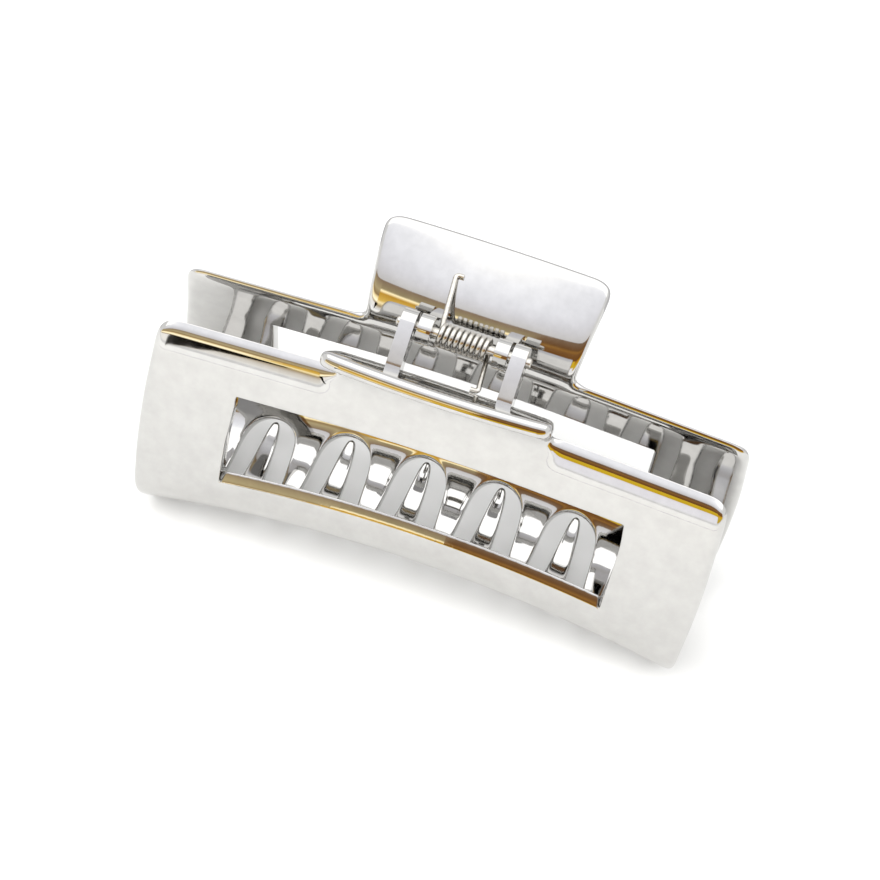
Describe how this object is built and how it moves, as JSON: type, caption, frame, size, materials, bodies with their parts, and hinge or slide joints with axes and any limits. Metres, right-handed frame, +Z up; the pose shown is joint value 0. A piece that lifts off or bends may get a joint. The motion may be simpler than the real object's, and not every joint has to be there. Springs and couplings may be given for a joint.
{
  "type": "hair claw clip",
  "caption": "Sprung claw clip with curved rectangular frame jaws, interlocking teeth, dished finger pads, and a coil-sprung hinge between them.",
  "frame": {"origin": "centre of the overall box, at the base of the lowest teeth, jaws closed", "axes": "+X along the hinge and the clip's length, +Z up from the teeth to the finger pads, front jaw on the -Y side"},
  "size_m": [0.09, 0.0364, 0.0508],
  "materials": {
    "chrome_plated_abs": "bright decorative chrome plating over moulded ABS",
    "nickel_plated_steel": "bright drawn wire, nickel plated"
  },
  "bodies": {
    "rear_side": {"rear_jaw": "chrome_plated_abs", "hinge_pin": "nickel_plated_steel", "torsion_spring": "nickel_plated_steel"},
    "front_side": {"front_jaw": "chrome_plated_abs"}
  },
  "joints": [
    {"name": "jaw_hinge", "type": "hinge", "parent": "rear_side", "child": "front_side", "pos_m": [0, 0, 0.04608], "axis": [-1, 0, 0], "range_deg": [0, 90], "stiffness_Nm_per_rad": 0.046, "springref_deg": -45.84, "deforming": ["torsion_spring"]}
  ]
}
